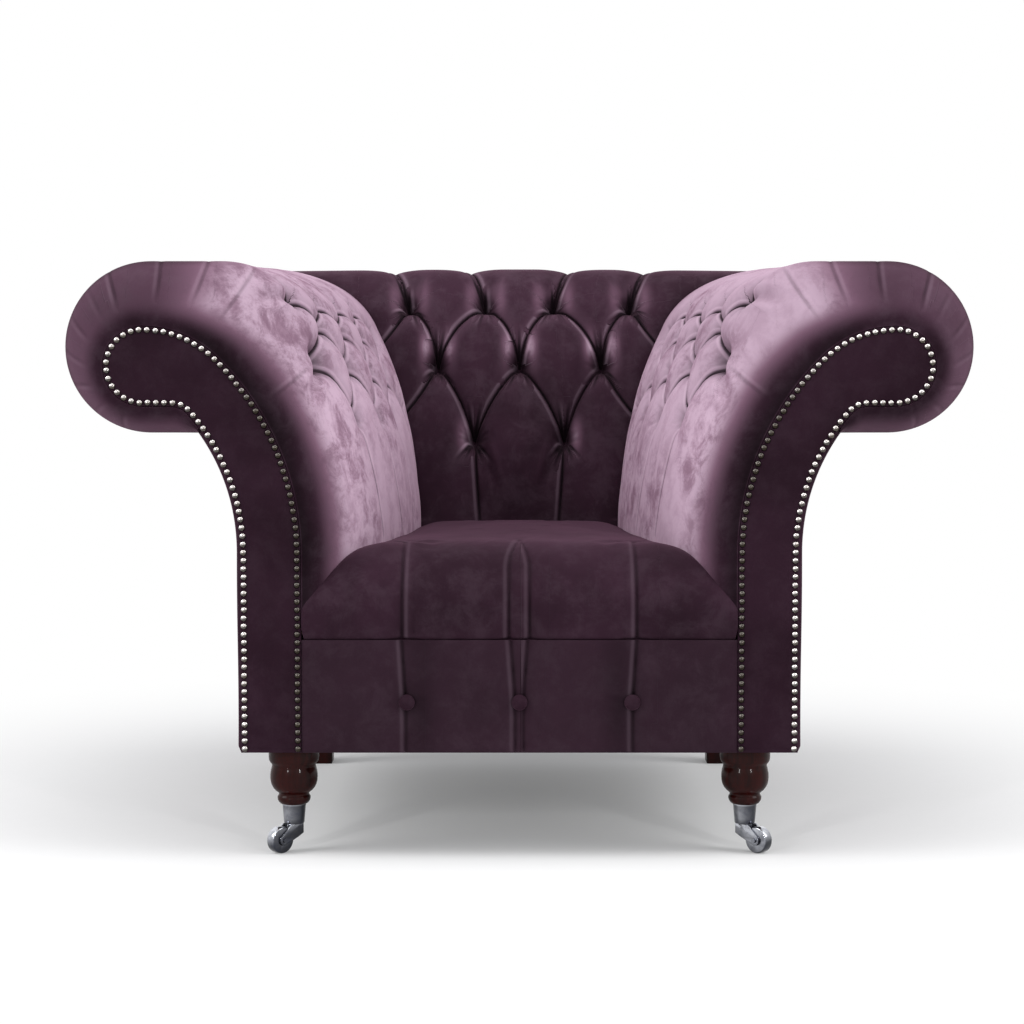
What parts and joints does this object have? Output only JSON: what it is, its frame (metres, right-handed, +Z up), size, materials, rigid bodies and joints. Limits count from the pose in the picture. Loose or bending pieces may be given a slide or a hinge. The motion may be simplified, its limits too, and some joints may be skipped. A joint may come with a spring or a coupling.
{
  "type": "chesterfield armchair",
  "caption": "deep-buttoned club armchair with scroll arms, a sprung seat with a buttoned border, nailed arm facings and turned front legs on swivel castors",
  "frame": {"origin": "centre of the bounding box's bottom face, on the floor", "axes": "+X to the sitter's left, +Y from the seat to the back, +Z up"},
  "size_m": [1.198, 0.9305, 0.787],
  "materials": {
    "velvet": "cotton velvet, brushed pile",
    "seat_velvet": "cotton velvet, brushed pile",
    "facing_velvet": "cotton velvet, stretched",
    "border_velvet": "cotton velvet, stretched",
    "outside_velvet": "cotton velvet, stretched",
    "button_velvet": "cotton velvet over metal button",
    "nail_steel": "antique nickel nail heads",
    "leg_wood": "dark mahogany stain, gloss",
    "castor_metal": "polished plating",
    "bolt_steel": "zinc plated",
    "frame_wood": "sawn beech",
    "webbing": "elastic webbing",
    "hessian": "jute hessian",
    "dust_cloth": "black lining cloth"
  },
  "bodies": {
    "chair": {"arm_pad_left": "velvet", "arm_buttons_left": "button_velvet", "arm_facing_left": "facing_velvet", "facing_nails_left": "nail_steel", "outside_arm_left": "outside_velvet", "rear_leg_left": "leg_wood", "arm_front_board_left": "frame_wood", "arm_rear_board_left": "frame_wood", "arm_roll_rail_left": "frame_wood", "arm_top_rail_left": "frame_wood", "arm_stuffing_rail_left": "frame_wood", "seat_side_rail_left": "frame_wood", "back_post_left": "frame_wood", "arm_pad_right": "velvet", "arm_buttons_right": "button_velvet", "arm_facing_right": "facing_velvet", "facing_nails_right": "nail_steel", "outside_arm_right": "outside_velvet", "rear_leg_right": "leg_wood", "arm_front_board_right": "frame_wood", "arm_rear_board_right": "frame_wood", "arm_roll_rail_right": "frame_wood", "arm_top_rail_right": "frame_wood", "arm_stuffing_rail_right": "frame_wood", "seat_side_rail_right": "frame_wood", "back_post_right": "frame_wood", "back_roll_rail": "frame_wood", "back_top_rail": "frame_wood", "back_stuffing_rail": "frame_wood", "seat_back_rail": "frame_wood", "seat_front_rail": "frame_wood", "corner_blocks": "frame_wood", "front_legs": "leg_wood", "castor_cups": "castor_metal", "castor_pins": "bolt_steel", "leg_bolts": "bolt_steel", "back_pad": "velvet", "back_buttons": "button_velvet", "seat_pad": "seat_velvet", "front_border": "border_velvet", "border_buttons": "button_velvet", "outside_back": "outside_velvet", "seat_webbing": "webbing", "back_webbing": "webbing", "seat_hessian": "hessian", "dust_cover": "dust_cloth"},
    "swivel_left": {"castor_horn_left": "castor_metal", "castor_axle_left": "castor_metal"},
    "wheel_left": {"castor_wheel_left": "castor_metal"},
    "swivel_right": {"castor_horn_right": "castor_metal", "castor_axle_right": "castor_metal"},
    "wheel_right": {"castor_wheel_right": "castor_metal"}
  },
  "joints": [
    {"name": "castor_swivel_left", "type": "hinge", "parent": "chair", "child": "swivel_left", "pos_m": [0.3, -0.40225, 0.0305], "axis": [0, 0, 1], "continuous": true},
    {"name": "castor_roll_left", "type": "hinge", "parent": "swivel_left", "child": "wheel_left", "pos_m": [0.31697, -0.41922, 0.0175], "axis": [0.7071, 0.7071, 0], "continuous": true},
    {"name": "castor_swivel_right", "type": "hinge", "parent": "chair", "child": "swivel_right", "pos_m": [-0.3, -0.40225, 0.0305], "axis": [0, 0, 1], "continuous": true},
    {"name": "castor_roll_right", "type": "hinge", "parent": "swivel_right", "child": "wheel_right", "pos_m": [-0.31697, -0.41922, 0.0175], "axis": [0.7071, -0.7071, 0], "continuous": true}
  ]
}
